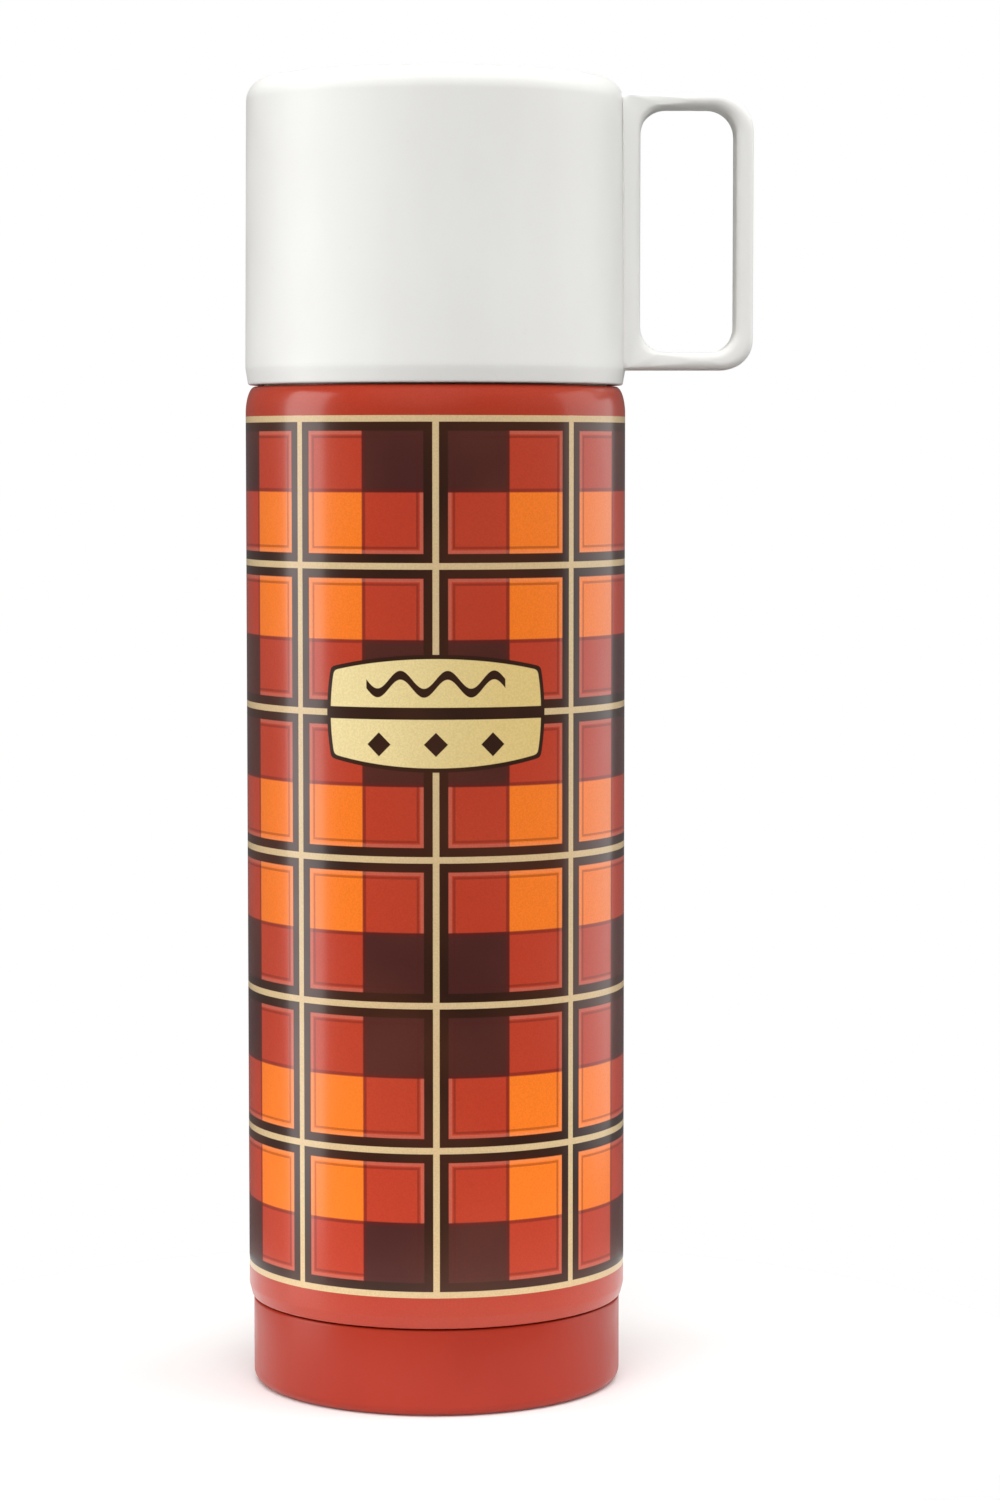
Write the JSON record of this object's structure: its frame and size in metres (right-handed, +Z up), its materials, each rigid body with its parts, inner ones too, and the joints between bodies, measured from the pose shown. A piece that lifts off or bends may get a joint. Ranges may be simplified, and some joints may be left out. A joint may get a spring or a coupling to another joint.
{
  "type": "vacuum flask",
  "caption": "Cylindrical vacuum flask with a plaid printed steel case, a screw-on drinking cup with a loop handle, a screw stopper and a screw-off base around a glass filler.",
  "frame": {"origin": "on the flask's axis, at the flat underside of the base", "axes": "+Z up the axis towards the cup; +X towards the cup's handle when the cup is screwed home; the emblem on the case faces -Y"},
  "size_m": [0.0999, 0.075, 0.258],
  "materials": {
    "plaid_steel": "gloss printed enamel, red, brown and gold plaid",
    "red_plastic": "satin red moulded plastic",
    "white_plastic": "gloss white moulded plastic",
    "ivory_plastic": "satin ivory moulded plastic",
    "plated_steel": "dull plated steel",
    "silvered_glass": "silvered on the vacuum side",
    "black_rubber": "matt black rubber",
    "grey_rubber": "matt grey rubber",
    "white_foam": "rigid foam",
    "mineral_fibre": "pressed fibre"
  },
  "bodies": {
    "flask": {"outer_case": "plaid_steel", "case_base_ring": "plated_steel", "filler_inner_glass": "silvered_glass", "filler_outer_glass": "silvered_glass", "spacer_pad_1": "mineral_fibre", "spacer_pad_2": "mineral_fibre", "spacer_pad_3": "mineral_fibre", "tip_guard": "black_rubber", "centring_ring": "white_foam", "neck_gasket": "black_rubber", "collar": "ivory_plastic", "collar_seal": "grey_rubber"},
    "base_carriage": {"base_cushion": "black_rubber"},
    "base": {"base_cup": "red_plastic"},
    "stopper_seal": {"stopper_gasket": "black_rubber"},
    "stopper_core": {"stopper_insulation": "white_foam"},
    "stopper": {"stopper_shell": "red_plastic", "stopper_lid": "red_plastic"},
    "cup_seal": {"cup_gasket": "grey_rubber"},
    "cup_inner": {"cup_liner": "white_plastic"},
    "cup": {"cup_shell": "white_plastic"}
  },
  "joints": [
    {"name": "base_drop", "type": "slide", "parent": "flask", "child": "base_carriage", "axis": [0, 0, -1], "range_m": [0, 0.00675]},
    {"name": "base_turn", "type": "hinge", "parent": "base_carriage", "child": "base", "pos_m": [0, 0, 0], "axis": [0, 0, -1], "range_deg": [0, 405]},
    {"name": "stopper_lift", "type": "slide", "parent": "flask", "child": "stopper_seal", "axis": [0, 0, 1], "range_m": [0, 0.024]},
    {"name": "stopper_rise", "type": "slide", "parent": "stopper_seal", "child": "stopper_core", "axis": [0, 0, 1], "range_m": [0, 0.006]},
    {"name": "stopper_turn", "type": "hinge", "parent": "stopper_core", "child": "stopper", "pos_m": [0, 0, 0.2], "axis": [0, 0, 1], "range_deg": [0, 270]},
    {"name": "cup_lift", "type": "slide", "parent": "flask", "child": "cup_seal", "axis": [0, 0, 1], "range_m": [0, 0.072]},
    {"name": "cup_rise", "type": "slide", "parent": "cup_seal", "child": "cup_inner", "axis": [0, 0, 1], "range_m": [0, 0.009]},
    {"name": "cup_turn", "type": "hinge", "parent": "cup_inner", "child": "cup", "pos_m": [0, 0, 0.2], "axis": [0, 0, 1], "range_deg": [0, 405]}
  ],
  "couplings": [
    {"joint": "base_drop", "follows": "base_turn", "m_per_rad": 0.0009549},
    {"joint": "stopper_rise", "follows": "stopper_turn", "m_per_rad": 0.0012732},
    {"joint": "cup_rise", "follows": "cup_turn", "m_per_rad": 0.0012732}
  ]
}
